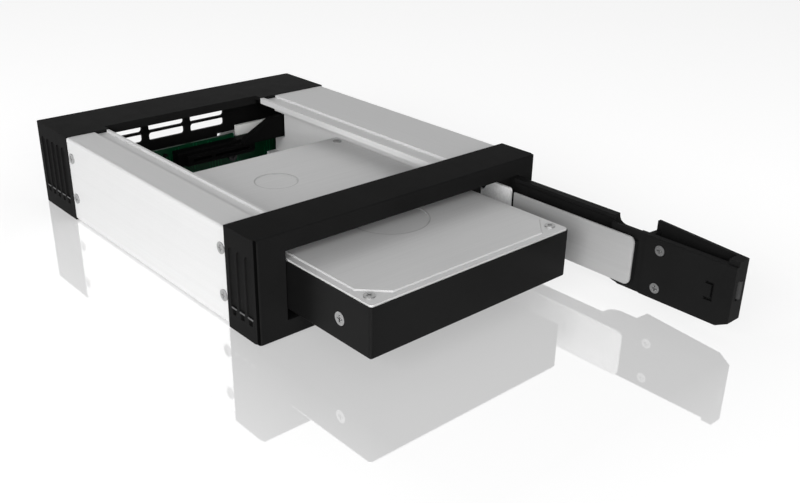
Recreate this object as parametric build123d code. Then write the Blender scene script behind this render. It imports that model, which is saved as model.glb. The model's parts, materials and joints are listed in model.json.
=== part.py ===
from build123d import *
import os

os.makedirs("parts", exist_ok=True)

# Everything is in millimetres. +X is to the right seen from the front, the front faces -Y, +Z is up.
# The origin is the middle of the faceplate's underside, in the plane that the cage stands on.

# Faceplate
BEZEL_SIDE_PROUD = 0.8
BEZEL_HEIGHT = 42.0
BEZEL_DEPTH = 20.0
BEZEL_WALL = 2.0
BEZEL_FRONT_WALL = 3.0
BEZEL_EDGE_RADIUS = 1.2
PLATE_PROUD = 1.6
PLATE_INSET = 0.5
PLATE_RADIUS = 1.1
LEFT_JAMB = 12.2
RIGHT_JAMB = 9.2
OPENING_FOOTROOM = 4.4
OPENING_HEADROOM = 2.9
COLLAR_WALL = 1.6
RECESS_GAP = 0.8
RECESS_WALL = 1.6

# Arched grip grooves in the sides of the faceplate and of the rear cap
GROOVE_WIDTH = 4.2
GROOVE_DEPTH = 0.8
GROOVE_BOTTOM = 10.0
GROOVE_DROP = 7.6
GROOVE_PITCH = 5.4
GROOVE_LEDGE = 1.0
GROOVE_FOOT_WIDTH = 2.6
GROOVE_FOOT_HEIGHT = 2.4
GROOVE_FOOT_DEPTH = 1.5
BEZEL_GROOVE_COUNT = 3
BEZEL_FIRST_GROOVE = 5.0
CAP_GROOVE_COUNT = 5
CAP_FIRST_GROOVE = 5.6

# Cage body and its extruded rails
MECHANISM_WIDTH = 22.9
REAR_ROOM = 29.2
RAIL_FOOT = 0.4
RAIL_DROP = 0.4
RAIL_WALL = 1.6
RAIL_CORNER_RADIUS = 1.0
STRIP_DROP = 1.2
LEFT_STEP = 1.7
LEFT_STRIP = 6.0
LEFT_LIP = 1.2
RIGHT_STEP = -0.8
RIGHT_STRIP = 7.5
RIGHT_LIP = 2.0
RUNNER_WIDTH = 6.0
RUNNER_THICKNESS = 1.6

# Bay mounting holes in the rails' undersides, on the drive bay standard's bottom pattern
BAY_HOLE_RADIUS = 1.5
BAY_HOLE_INSET = 3.35
BAY_HOLE_SPACING = 79.25
BAY_FIRST_HOLE = 40.0

# Screws that hold the rails to the tongues of the faceplate and the cap
SIDE_SCREW_LOW = 11.8
SIDE_SCREW_DROP = 9.0
SIDE_SCREW_INSET = 3.6
SIDE_HEAD_RADIUS = 2.4
SIDE_HEAD_HEIGHT = 0.45
SIDE_SHANK_RADIUS = 1.4
SIDE_SHANK_LENGTH = 6.0
SCREW_CLEARANCE = 0.15
PILOT_EXTRA = 0.6
TONGUE_LENGTH = 8.0
TONGUE_THICKNESS = 6.0
TONGUE_GAP = 0.1
TONGUE_BOTTOM = 5.0
TONGUE_DROP = 3.9
TONGUE_CHAMFER = 0.8

# Form of every cross-head screw, as shares of its own head
RECESS_SPREAD = 1.1
RECESS_SLIT = 0.26
RECESS_FLOOR = 0.35
SHANK_SIDE_COUNT = 8

# Rear cap
CAP_SIDE_PROUD = 0.3
CAP_DROP = 1.2
CAP_DEPTH = 33.0
CAP_WALL = 2.0
CAP_FLANGE_SETBACK = 4.5
CAP_LIP = 2.2
CAP_EDGE_RADIUS = 1.2
VENT_WIDTH = 21.0
VENT_HEIGHT = 4.3
VENT_PITCH = 24.6
VENT_COLUMNS = 3
VENT_FIRST_X = -30.6
VENT_LOW = 21.4
VENT_RISE = 5.4
VENT_RADIUS = 1.5

# Three and a half inch drive, shown part-way out
DRIVE_WIDTH = 101.6
DRIVE_LENGTH = 147.0
DRIVE_HEIGHT = 21.0
DRIVE_JAMB_GAP = 0.5
DRIVE_BOTTOM = 10.9
DRIVE_OUT = 47.0
DRIVE_SEAT = 10.8
DRIVE_SIDE_GAP = 0.6
DRIVE_RUNNER_GAP = 0.3
DRIVE_EDGE_RADIUS = 1.2
DRIVE_FOOT_CHAMFER = 0.4
LID_THICKNESS = 0.8
LID_PANEL_RISE = 0.5
LID_INSET = 0.4
LID_FRONT_RIM = 2.6
LID_CHAMFER = 9.5
LID_SCREW_INSET = 4.4
LID_SCREW_FROM_END = 6.1
LID_SCREW_RADIUS = 2.1
LID_SCREW_SPACE = 2.8
LID_SHANK_RADIUS = 1.0
LID_SHANK_LENGTH = 3.0
HUB_FROM_LEFT = 53.2
HUB_FROM_FRONT = 51.9
HUB_RADIUS = 16.2
PIVOT_FROM_LEFT = 42.3
PIVOT_FROM_FRONT = 114.0
PIVOT_RADIUS = 9.4
EMBOSS = 0.3
DRIVE_HOLE_RISE = 8.9
DRIVE_HOLE_FROM_REAR = 28.5
DRIVE_HOLE_SPACING = 101.6
DRIVE_SCREW_RADIUS = 2.6
DRIVE_SCREW_LENGTH = 3.5
DRIVE_SCREW_SEAT = 1.0
DRIVE_HEAD_HEIGHT = 0.9
DRIVE_BOARD_THICKNESS = 1.6
DRIVE_BOARD_WIDTH = 76.0
DRIVE_BOARD_LENGTH = 62.0
DRIVE_BOARD_SETBACK = 1.5
DRIVE_BOARD_RISE = 0.2

# Plug in the drive's rear and the socket that it mates with
PLUG_FROM_LEFT = 68.5
PLUG_RISE = 4.2
PLUG_WIDTH = 41.0
PLUG_HEIGHT = 6.4
PLUG_DEPTH = 6.0
PLUG_PLATE = 1.0
BLADE_THICKNESS = 1.0
BLADE_LENGTH = 4.4
DATA_BLADE = 10.0
POWER_BLADE = 20.0
BLADE_GAP = 3.0
SOCKET_BODY_WIDTH = 46.0
SOCKET_BODY_HEIGHT = 7.6
SOCKET_BODY_DEPTH = 6.0
MATE_GAP = 0.5

# Backplane board and what is soldered to it
BOARD_THICKNESS = 1.6
BOARD_LEFT_INSET = 19.5
BOARD_RIGHT_REACH = 6.9
BOARD_BOTTOM = 4.0
BOARD_TOP = 20.8
BOARD_STEP_WIDTH = 26.0
BOARD_STEP_TOP = 18.7
BOARD_SCREW_RADIUS = 1.25
BOARD_HEAD_RADIUS = 2.5
POST_RADIUS = 3.0
BOARD_SCREW_INSET = 4.5
BOARD_HEAD_HEIGHT = 1.2
POWER_PORT_INSET = 23.4
POWER_PORT_WIDTH = 21.0
POWER_PORT_BOTTOM = 5.0
POWER_PORT_HEIGHT = 9.6
POWER_PORT_WALL = 1.2
POWER_PORT_CORNER = 2.0
POWER_LOCK_TOP = 24.2
POWER_LOCK_THICKNESS = 1.6
POWER_PIN_DROP = 1.5
POWER_PIN_PITCH = 5.08
POWER_PIN_RADIUS = 1.05
DATA_PORT_FROM_LEFT = 35.0
DATA_PORT_WIDTH = 14.4
DATA_PORT_BOTTOM = 6.4
DATA_PORT_HEIGHT = 6.2
PORT_SOCKET_DEPTH = 8.0
PORT_WINDOW_GAP = 0.4
COMPONENT_HEIGHT = 1.2
CHIP_SIZE = 7.0
CHIP_FROM_LEFT = 15.0
CHIP_RISE = 2.0
CAPACITOR_COUNT = 4
CAPACITOR_WIDTH = 2.0
CAPACITOR_HEIGHT = 1.4
CAPACITOR_PITCH = 4.2
CAPACITOR_FROM_LEFT = 9.0
CAPACITOR_DROP = 3.2

# Hinged door, shown open at a right angle to the faceplate
HINGE_INSET = 5.9
DOOR_JAMB_GAP = 0.4
DOOR_END_GAP = 2.2
DOOR_SKIN = 1.4
DOOR_EDGE_GAP = 0.4
DOOR_NEAR_RISE = 3.9
DOOR_NEAR_END = 52.0
DOOR_CURVE = 9.0
DOOR_DEPTH = 6.6
COVER_THICKNESS = 1.4
COVER_START = 55.5
COVER_DROP = 1.8
COVER_STEP_END = 71.6
COVER_STEP = 0.4
COVER_EDGE = 0.4
TROUGH_DEPTH = 6.4
STRIP_DEPTH = 3.4
STRIP_CLEARANCE = 0.4
STRIP_RADIUS = 1.0
SKIN_RELIEF = 0.4
RELIEF_START = 7.0
RELIEF_END = 42.0
NOTCH_START = 54.5
NOTCH_END = 68.4
NOTCH_DEPTH = 4.0
NOTCH_CURVE = 4.5
WEDGE_RISE = 6.6
WEDGE_TAIL_RISE = 1.0
WEDGE_WALL = 1.6
WEDGE_SLANT = 0.6
TAIL_SLANT = 0.5
POCKET_START_WALL = 2.2
POCKET_END_WALL = 4.4
CHAMBER_WALL = 1.5
POCKET_FLOOR = 13.0
KNUCKLE_RADIUS = 2.2
KNUCKLE_HEIGHT = 5.0
PIN_RADIUS = 1.0
PIN_CLEARANCE = 0.08
PIN_BITE = 3.0
DOOR_SCREW_Y = 78.4
DOOR_SCREW_LOW = 12.0
DOOR_SCREW_HIGH = 28.0
DOOR_HEAD_RADIUS = 2.1
DOOR_HEAD_DEPTH = 1.0
DOOR_SHANK_RADIUS = 1.2
DOOR_SHANK_LENGTH = 2.6
DOOR_BOSS_RADIUS = 2.4
DOOR_BOSS_HEIGHT = 1.2
DOOR_CORNER_CUT = 5.0
CORNER_SLOPE = 0.6
CLIP_FROM_END = 7.8
CLIP_SLOT = 1.1
CLIP_REACH = 3.6
CLIP_BOTTOM = 16.0
CLIP_TOP = 23.6

# Leaf spring on the door that holds the drive home
LEAF_STANDOFF = 3.0
LEAF_THICKNESS = 0.8
LEAF_START = 6.4
LEAF_END = 68.6
LEAF_BOTTOM = 10.4
LEAF_DROP = 3.6
LEAF_PAD_EDGE = 2.0
LEAF_RADIUS = 2.6
LEAF_PAD = 4.4

# Sprung latch in the free end of the door
BOLT_OUT = 2.8
BOLT_DRAWN = 2.5
BOLT_SETBACK = 0.8
BOLT_LENGTH = 13.0
BOLT_THICKNESS = 2.8
BOLT_BOTTOM = 18.8
BOLT_TOP = 26.0
BOLT_GAP = 0.25
BOLT_TRAVEL = 3.2
STRIKE_DEPTH = 1.6

# Ejector: a steel bar in the right rail and an arm behind the drive
BAR_THICKNESS = 1.2
BAR_NECK_SLOPE = 4.0
BAR_CORNER = 1.5
BAR_FRONT = 4.4
BAR_HEAD_LENGTH = 12.0
BAR_HEAD_BOTTOM = 12.0
BAR_HEAD_TOP = 32.0
BAR_BOTTOM = 16.0
BAR_TOP = 27.0
BAR_SLOT_GAP = 0.4
ARM_THICKNESS = 4.0
ARM_REACH = 24.1
ARM_RISE = 1.2
ARM_TIP_TOP = 23.4
ARM_SHOULDER = 6.1
ARM_TIP_WIDTH = 2.0
ARM_TIP_DROP = 1.5
ARM_TOP = 31.4
ARM_FOOT_DROP = 3.2
ARM_OVERLAP = 0.9
ARM_SLOT_GAP = 0.8
ARM_SEAT_GAP = 0.3
EJECT_TRAVEL = 12.0
RIVET_RADIUS = 1.2
RIVET_INSET = 3.0

# Widths and places that follow from the sizes above
CAGE_WIDTH = LEFT_JAMB + DRIVE_JAMB_GAP + DRIVE_WIDTH + MECHANISM_WIDTH + RIGHT_JAMB
CAGE_LENGTH = DRIVE_SEAT + DRIVE_LENGTH + REAR_ROOM
BEZEL_WIDTH = CAGE_WIDTH + 2 * BEZEL_SIDE_PROUD
CAP_WIDTH = CAGE_WIDTH + 2 * CAP_SIDE_PROUD
OPENING_LEFT = LEFT_JAMB - CAGE_WIDTH / 2
OPENING_RIGHT = CAGE_WIDTH / 2 - RIGHT_JAMB
RECESS_DEPTH = 2 * HINGE_INSET + RECESS_GAP
CAP_HEIGHT = BEZEL_HEIGHT - CAP_DROP
RAIL_TOP = CAP_HEIGHT - RAIL_DROP
TONGUE_TOP = RAIL_TOP - TONGUE_DROP
SIDE_SCREW_HIGH = RAIL_TOP - SIDE_SCREW_DROP
GROOVE_TOP = BEZEL_HEIGHT - GROOVE_DROP
DRIVE_LEFT = OPENING_LEFT + DRIVE_JAMB_GAP
FRONT_Y = -BEZEL_DEPTH / 2
BEZEL_BACK_Y = BEZEL_DEPTH / 2
CAP_BACK_Y = FRONT_Y + CAGE_LENGTH
CAP_FRONT_Y = CAP_BACK_Y - CAP_DEPTH
DRIVE_RIGHT = DRIVE_LEFT + DRIVE_WIDTH
DRIVE_TOP = DRIVE_BOTTOM + DRIVE_HEIGHT
OPENING_BOTTOM = DRIVE_BOTTOM - OPENING_FOOTROOM
OPENING_TOP = DRIVE_TOP + OPENING_HEADROOM
DRIVE_FRONT_Y = FRONT_Y - DRIVE_OUT
DRIVE_REAR_Y = DRIVE_FRONT_Y + DRIVE_LENGTH
SEATED_REAR_Y = FRONT_Y + DRIVE_SEAT + DRIVE_LENGTH
LEFT_WEB_X = DRIVE_LEFT - DRIVE_SIDE_GAP
RIGHT_WEB_X = DRIVE_RIGHT + DRIVE_SIDE_GAP
LID_BOTTOM = DRIVE_TOP - LID_PANEL_RISE - LID_THICKNESS
SOCKET_FRONT_Y = SEATED_REAR_Y + MATE_GAP
BOARD_FRONT_Y = SOCKET_FRONT_Y + SOCKET_BODY_DEPTH
BOARD_BACK_Y = BOARD_FRONT_Y + BOARD_THICKNESS
PLUG_Z = DRIVE_BOTTOM + PLUG_RISE
ARM_BOTTOM = PLUG_Z + SOCKET_BODY_HEIGHT / 2 + ARM_RISE
ARM_FOOT = ARM_BOTTOM - ARM_FOOT_DROP
ARM_FRONT_Y = SEATED_REAR_Y + ARM_SEAT_GAP - EJECT_TRAVEL
ARM_BACK_Y = ARM_FRONT_Y + ARM_THICKNESS
HUB_X = DRIVE_LEFT + HUB_FROM_LEFT
PIVOT_X = DRIVE_LEFT + PIVOT_FROM_LEFT
PLUG_X = DRIVE_LEFT + PLUG_FROM_LEFT
BOARD_LEFT = DRIVE_LEFT + BOARD_LEFT_INSET
BOARD_RIGHT = DRIVE_RIGHT + BOARD_RIGHT_REACH
POWER_PORT_LEFT = BOARD_RIGHT - POWER_PORT_INSET
DATA_PORT_X = BOARD_LEFT + DATA_PORT_FROM_LEFT
HINGE_Y = FRONT_Y + HINGE_INSET
DOOR_OUTER_X = OPENING_RIGHT - DOOR_JAMB_GAP
DOOR_HINGE_X = DOOR_OUTER_X - HINGE_INSET
DOOR_END = DOOR_HINGE_X - OPENING_LEFT - HINGE_INSET - DOOR_END_GAP
DOOR_BOTTOM = OPENING_BOTTOM + DOOR_EDGE_GAP
DOOR_TOP = OPENING_TOP - DOOR_EDGE_GAP
DOOR_NEAR_BOTTOM = DOOR_BOTTOM + DOOR_NEAR_RISE
DOOR_COVER_X = DOOR_OUTER_X - DOOR_DEPTH
COVER_TOP = DOOR_TOP - COVER_DROP
TROUGH_FLOOR = DOOR_TOP - TROUGH_DEPTH
STRIP_BOTTOM = DRIVE_TOP + STRIP_CLEARANCE
NOTCH_BOTTOM = DOOR_TOP - NOTCH_DEPTH
LEAF_TOP = DOOR_TOP - LEAF_DROP
LEAF_X = DOOR_COVER_X - LEAF_STANDOFF
WEDGE_X = DOOR_OUTER_X + WEDGE_RISE
WEDGE_TAIL_X = DOOR_OUTER_X + WEDGE_TAIL_RISE
BOLT_X = DOOR_COVER_X + COVER_THICKNESS + BOLT_SETBACK + BOLT_GAP
POCKET_END = DOOR_END - POCKET_END_WALL
POCKET_DEEP_END = DOOR_END + BOLT_OUT - BOLT_LENGTH - BOLT_TRAVEL - BOLT_GAP - CHAMBER_WALL
ARM_ROOT_X = LEAF_X + BAR_THICKNESS + ARM_OVERLAP
ARM_TIP_X = DRIVE_RIGHT - ARM_REACH
ARM_SHOULDER_X = DRIVE_RIGHT - ARM_SHOULDER


def behind(distance):
    """Y of a place that lies a distance behind the faceplate's front."""
    return FRONT_Y + distance


def ahead(distance):
    """Y of a place that lies a distance in front of the faceplate."""
    return FRONT_Y - distance


def block(x0, x1, y0, y1, z0, z1):
    """Box between two corners."""
    centre = Pos((x0 + x1) / 2, (y0 + y1) / 2, (z0 + z1) / 2)
    return centre * Box(abs(x1 - x0), abs(y1 - y0), abs(z1 - z0))


def span(a0, a1, b0, b1):
    """Flat rectangle between two corners."""
    return Pos((a0 + a1) / 2, (b0 + b1) / 2) * Rectangle(abs(a1 - a0), abs(b1 - b0))


def outline(*points):
    """Flat face inside straight runs from point to point."""
    return make_face(Polyline(*points, close=True))


def along_y(face, y_front, y_rear):
    """Push an X-Z face from one Y to another."""
    plane = Plane(origin=(0, y_rear, 0), x_dir=(1, 0, 0), z_dir=(0, -1, 0))
    return extrude(plane * face, amount=y_rear - y_front)


def along_x(face, x0, x1):
    """Push a Y-Z face from one X to another."""
    plane = Plane(origin=(x0, 0, 0), x_dir=(0, 1, 0), z_dir=(1, 0, 0))
    return extrude(plane * face, amount=x1 - x0)


def along_z(face, z0, z1):
    """Push an X-Y face from one Z to another."""
    return extrude(Pos(0, 0, z0) * face, amount=z1 - z0)


def rod(start, direction, radius, length):
    """Cylinder from a start point along a direction."""
    plane = Plane(origin=start, z_dir=direction)
    return extrude(plane * Circle(radius), amount=length)


def screw(head_radius, head_height, shank_radius, shank_length):
    """Low cross-head screw, its head's underside at the origin and its shank down -Z."""
    head = extrude(Circle(head_radius), amount=head_height)
    shank = Pos(0, 0, -shank_length) * extrude(shank_face(shank_radius), amount=shank_length)
    arm = head_radius * RECESS_SPREAD
    cross = Rectangle(arm, arm * RECESS_SLIT) + Rectangle(arm * RECESS_SLIT, arm)
    recess = Pos(0, 0, head_height * RECESS_FLOOR) * extrude(cross, amount=head_height)
    return head + shank - recess


def shank_face(radius):
    """Section of a screw's shank, with few sides because it never shows."""
    return RegularPolygon(radius, SHANK_SIDE_COUNT)


def pilot(start, direction, radius, length):
    """Hole that a screw's shank fills, as a solid to cut away."""
    plane = Plane(origin=start, z_dir=direction)
    return extrude(plane * shank_face(radius), amount=length)


def turned(solid, origin, direction):
    """A solid drawn along +Z, placed at an origin with +Z along a direction."""
    return Plane(origin=origin, z_dir=direction) * solid


def grooves(side, width, first, count):
    """Arched vertical grooves cut in one side face, counted from the first one."""
    cuts = []
    arch = GROOVE_WIDTH / 2
    for index in range(count):
        y = first + index * GROOVE_PITCH
        flat = span(y - arch, y + arch, GROOVE_BOTTOM, GROOVE_TOP - arch)
        face = flat + Pos(y, GROOVE_TOP - arch) * Circle(arch)
        x = side * width / 2
        cuts.append(along_x(face, x - GROOVE_DEPTH, x + GROOVE_DEPTH))
    return cuts


def groove_feet(side, width, first, count):
    """Square holes below the grooves, each under a narrow ledge."""
    half = GROOVE_FOOT_WIDTH / 2
    top = GROOVE_BOTTOM - GROOVE_LEDGE
    x = side * width / 2
    feet = []
    for index in range(count):
        y = first + index * GROOVE_PITCH
        face = span(y - half, y + half, top - GROOVE_FOOT_HEIGHT, top)
        feet.append(along_x(face, x - GROOVE_FOOT_DEPTH, x + GROOVE_FOOT_DEPTH))
    return feet


def side_screw_spots(end):
    """Y and Z of the two side screws at the front or the rear end of a rail."""
    y = BEZEL_BACK_Y + SIDE_SCREW_INSET if end == "front" else CAP_FRONT_Y - SIDE_SCREW_INSET
    return [(y, SIDE_SCREW_LOW), (y, SIDE_SCREW_HIGH)]


def rail(side):
    """One extruded rail: box section, runner for the drive, sunk strip and lip over the cavity."""
    outer = side * CAGE_WIDTH / 2
    web = RIGHT_WEB_X if side > 0 else LEFT_WEB_X
    step = RIGHT_STEP if side > 0 else LEFT_STEP
    strip = RIGHT_STRIP if side > 0 else LEFT_STRIP
    lip = RIGHT_LIP if side > 0 else LEFT_LIP
    box_inner = web + side * RAIL_WALL
    flange_edge = web - side * step
    strip_edge = flange_edge - side * strip
    lip_edge = strip_edge - side * lip
    face = span(outer, web, RAIL_FOOT, RAIL_TOP)
    corners = [v for v in face.vertices() if abs(v.X - outer) < 0.01]
    face = fillet(corners, RAIL_CORNER_RADIUS)
    if side < 0:
        face += span(web, flange_edge, RAIL_TOP - STRIP_DROP - RAIL_WALL, RAIL_TOP)
    else:
        face -= span(flange_edge, web, RAIL_TOP - STRIP_DROP, RAIL_TOP)
    face += span(flange_edge, lip_edge, RAIL_TOP - STRIP_DROP - RAIL_WALL, RAIL_TOP - STRIP_DROP)
    face += span(strip_edge, lip_edge, RAIL_TOP - STRIP_DROP - RAIL_WALL, RAIL_TOP)
    runner_top = DRIVE_BOTTOM - DRIVE_RUNNER_GAP
    face += span(web, web - side * RUNNER_WIDTH, runner_top - RUNNER_THICKNESS, runner_top)
    hollow = span(outer - side * RAIL_WALL, box_inner, RAIL_FOOT + RAIL_WALL, RAIL_TOP - RAIL_WALL)
    body = along_y(face - hollow, BEZEL_BACK_Y, CAP_FRONT_Y)
    for y, z in side_screw_spots("front") + side_screw_spots("rear"):
        hole = SIDE_SHANK_RADIUS + SCREW_CLEARANCE
        body -= rod((outer - side * RAIL_WALL * 2, y, z), (side, 0, 0), hole, RAIL_WALL * 3)
    for y in (behind(BAY_FIRST_HOLE), behind(BAY_FIRST_HOLE) + BAY_HOLE_SPACING):
        hole_x = outer - side * BAY_HOLE_INSET
        body -= rod((hole_x, y, RAIL_FOOT - RAIL_WALL), (0, 0, 1), BAY_HOLE_RADIUS, RAIL_WALL * 3)
    if side > 0:
        low = ARM_BOTTOM - ARM_SLOT_GAP
        high = ARM_TOP + ARM_SLOT_GAP
        start = ARM_FRONT_Y - ARM_SLOT_GAP
        body -= block(web - 1, box_inner + 1, start, CAP_FRONT_Y + 1, low, high)
    return body


def rail_screws(side):
    """The four cross-head screws of one rail."""
    outer = side * CAGE_WIDTH / 2
    one = screw(SIDE_HEAD_RADIUS, SIDE_HEAD_HEIGHT, SIDE_SHANK_RADIUS, SIDE_SHANK_LENGTH)
    spots = side_screw_spots("front") + side_screw_spots("rear")
    return [turned(one, (outer, y, z), (side, 0, 0)) for y, z in spots]


def tongue(side, y0, y1):
    """Lug that reaches into a rail's hollow, with pilot holes for the side screws."""
    outer = side * (CAGE_WIDTH / 2 - RAIL_WALL - TONGUE_GAP)
    lug = block(outer, outer - side * TONGUE_THICKNESS, y0, y1, TONGUE_BOTTOM, TONGUE_TOP)
    return chamfer(lug.edges().filter_by(Axis.Z), TONGUE_CHAMFER)


def pilot_holes(side, end):
    """Pilot holes for the side screws, as solids to cut away."""
    start = side * CAGE_WIDTH / 2
    length = SIDE_SHANK_LENGTH + PILOT_EXTRA
    return [pilot((start, y, z), (-side, 0, 0), SIDE_SHANK_RADIUS, length) for y, z in side_screw_spots(end)]


def bezel_outside():
    """Faceplate's outer form: a block with a proud front plate, its upper and side edges softened."""
    half = BEZEL_WIDTH / 2
    body = block(-half, half, FRONT_Y + PLATE_PROUD, BEZEL_BACK_Y, 0, BEZEL_HEIGHT)
    body = fillet(body.edges().filter_by(Axis.Z).group_by(Axis.Y)[0], BEZEL_EDGE_RADIUS)
    edge = half - PLATE_INSET
    plate = block(-edge, edge, FRONT_Y, FRONT_Y + 2 * PLATE_PROUD, 0, BEZEL_HEIGHT)
    soft = plate.edges().filter_by(Axis.Z).group_by(Axis.Y)[0]
    soft += plate.edges().filter_by(Axis.X).group_by(Axis.Z)[-1].group_by(Axis.Y)[0]
    return body + fillet(soft, PLATE_RADIUS)


def front_bezel():
    """Moulded faceplate: open at the back, with a collar round the opening and lugs for the rails."""
    half = BEZEL_WIDTH / 2
    wall_y = behind(BEZEL_FRONT_WALL)
    cavity = block(-half + BEZEL_WALL, half - BEZEL_WALL, wall_y, BEZEL_BACK_Y,
                   BEZEL_WALL, BEZEL_HEIGHT - BEZEL_WALL)
    bay_right = RIGHT_WEB_X
    collar = block(OPENING_LEFT - COLLAR_WALL, bay_right + COLLAR_WALL, wall_y, BEZEL_BACK_Y,
                   OPENING_BOTTOM - COLLAR_WALL, OPENING_TOP + COLLAR_WALL)
    recess_back = behind(RECESS_DEPTH + RECESS_WALL)
    collar += block(bay_right, OPENING_RIGHT + COLLAR_WALL, wall_y, recess_back,
                    OPENING_BOTTOM - COLLAR_WALL, OPENING_TOP + COLLAR_WALL)
    body = bezel_outside() - (cavity - collar)
    for side in (-1, 1):
        body += tongue(side, behind(BEZEL_FRONT_WALL), BEZEL_BACK_Y + TONGUE_LENGTH)
        body -= pilot_holes(side, "front")
        body -= grooves(side, BEZEL_WIDTH, behind(BEZEL_FIRST_GROOVE), BEZEL_GROOVE_COUNT)
        body -= groove_feet(side, BEZEL_WIDTH, behind(BEZEL_FIRST_GROOVE), BEZEL_GROOVE_COUNT)
    pin_z0 = OPENING_BOTTOM - PIN_BITE
    body += rod((DOOR_HINGE_X, HINGE_Y, BEZEL_WALL), (0, 0, 1), KNUCKLE_RADIUS, OPENING_BOTTOM - BEZEL_WALL)
    top_boss = BEZEL_HEIGHT - BEZEL_WALL - OPENING_TOP
    body += rod((DOOR_HINGE_X, HINGE_Y, OPENING_TOP), (0, 0, 1), KNUCKLE_RADIUS, top_boss)
    body -= block(OPENING_LEFT, bay_right, FRONT_Y, BEZEL_BACK_Y, OPENING_BOTTOM, OPENING_TOP)
    body -= block(bay_right - 1, OPENING_RIGHT, FRONT_Y, behind(RECESS_DEPTH), OPENING_BOTTOM, OPENING_TOP)
    body -= rod((DOOR_HINGE_X, HINGE_Y, pin_z0), (0, 0, 1), PIN_RADIUS,
                OPENING_TOP - OPENING_BOTTOM + 2 * PIN_BITE)
    slot_x0 = LEAF_X - BAR_SLOT_GAP
    slot_x1 = LEAF_X + BAR_THICKNESS + BAR_SLOT_GAP
    body -= block(slot_x0, slot_x1, behind(RECESS_DEPTH) - 1, recess_back + 1,
                  BAR_HEAD_BOTTOM - BAR_SLOT_GAP, BAR_HEAD_TOP + BAR_SLOT_GAP)
    body -= strike_pocket()
    return body


def strike_pocket():
    """Pocket in the opening's left jamb that the latch bolt springs into."""
    y1 = HINGE_Y + DOOR_HINGE_X - BOLT_X + BOLT_GAP * 2
    y0 = y1 - BOLT_THICKNESS - BOLT_GAP * 4
    return block(OPENING_LEFT - STRIKE_DEPTH, OPENING_LEFT + 1, y0, y1,
                 BOLT_BOTTOM - 2 * BOLT_GAP, BOLT_TOP + 2 * BOLT_GAP)


def vents():
    """Two rows of rounded slots through the rear wall."""
    slot = RectangleRounded(VENT_WIDTH, VENT_HEIGHT, VENT_RADIUS)
    face = Sketch()
    for column in range(VENT_COLUMNS):
        for row in range(2):
            face += Pos(VENT_FIRST_X + column * VENT_PITCH, VENT_LOW + row * VENT_RISE) * slot
    return along_y(face, CAP_BACK_Y - CAP_WALL - 1, CAP_BACK_Y + 1)


def port_windows():
    """Cut-outs in the rear wall for the power port and the data port."""
    gap = PORT_WINDOW_GAP
    power = span(POWER_PORT_LEFT - gap, POWER_PORT_LEFT + POWER_PORT_WIDTH + gap,
                 POWER_PORT_BOTTOM - gap, POWER_PORT_BOTTOM + POWER_PORT_HEIGHT + gap)
    half = DATA_PORT_WIDTH / 2 + gap
    data = span(DATA_PORT_X - half, DATA_PORT_X + half,
                DATA_PORT_BOTTOM - gap, DATA_PORT_BOTTOM + DATA_PORT_HEIGHT + gap)
    return along_y(power + data, CAP_BACK_Y - CAP_WALL - 1, CAP_BACK_Y + 1)


def rear_cap():
    """Moulded rear cap: shell open to the front, set-back flange, vented wall, posts for the board."""
    half = CAP_WIDTH / 2
    outside = block(-half, half, CAP_FRONT_Y, CAP_BACK_Y, 0, CAP_HEIGHT)
    outside = fillet(outside.edges().filter_by(Axis.Z).group_by(Axis.Y)[-1], CAP_EDGE_RADIUS)
    inside = block(-half + CAP_WALL, half - CAP_WALL, CAP_FRONT_Y - 1, CAP_BACK_Y - CAP_WALL,
                   CAP_WALL, CAP_HEIGHT - CAP_WALL)
    body = outside - inside
    left = LEFT_WEB_X + LEFT_STEP + LEFT_STRIP + LEFT_LIP
    right = RIGHT_WEB_X - RIGHT_STEP - RIGHT_STRIP - RIGHT_LIP
    lip_y = CAP_FRONT_Y + CAP_FLANGE_SETBACK
    body -= block(left, right, CAP_FRONT_Y - 1, lip_y, CAP_HEIGHT - CAP_WALL - 1, CAP_HEIGHT + 1)
    lip_top = CAP_HEIGHT - CAP_WALL
    body += block(left, right, lip_y, lip_y + CAP_WALL, lip_top - CAP_LIP, lip_top)
    body -= block(left, right, CAP_FRONT_Y - 1, CAP_FRONT_Y + CAP_FLANGE_SETBACK, -1, CAP_WALL + 1)
    for side in (-1, 1):
        body += tongue(side, CAP_FRONT_Y - TONGUE_LENGTH, CAP_BACK_Y - CAP_WALL)
        body -= pilot_holes(side, "rear")
        body -= grooves(side, CAP_WIDTH, CAP_FRONT_Y + CAP_FIRST_GROOVE, CAP_GROOVE_COUNT)
        body -= groove_feet(side, CAP_WIDTH, CAP_FRONT_Y + CAP_FIRST_GROOVE, CAP_GROOVE_COUNT)
    body -= vents()
    body -= port_windows()
    wall_y = CAP_BACK_Y - CAP_WALL
    for x, z in board_screw_spots():
        body += rod((x, wall_y, z), (0, -1, 0), POST_RADIUS, wall_y - BOARD_BACK_Y)
        body -= pilot((x, BOARD_BACK_Y, z), (0, 1, 0), BOARD_SCREW_RADIUS, SIDE_SHANK_LENGTH)
    return body


def board_screw_spots():
    """X and Z of the board's three screws."""
    left = BOARD_LEFT + BOARD_SCREW_INSET
    right = POWER_PORT_LEFT - BOARD_SCREW_INSET
    low = BOARD_BOTTOM + BOARD_SCREW_INSET
    return [(left, BOARD_TOP - BOARD_SCREW_INSET), (left, low), (right, low)]


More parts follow.
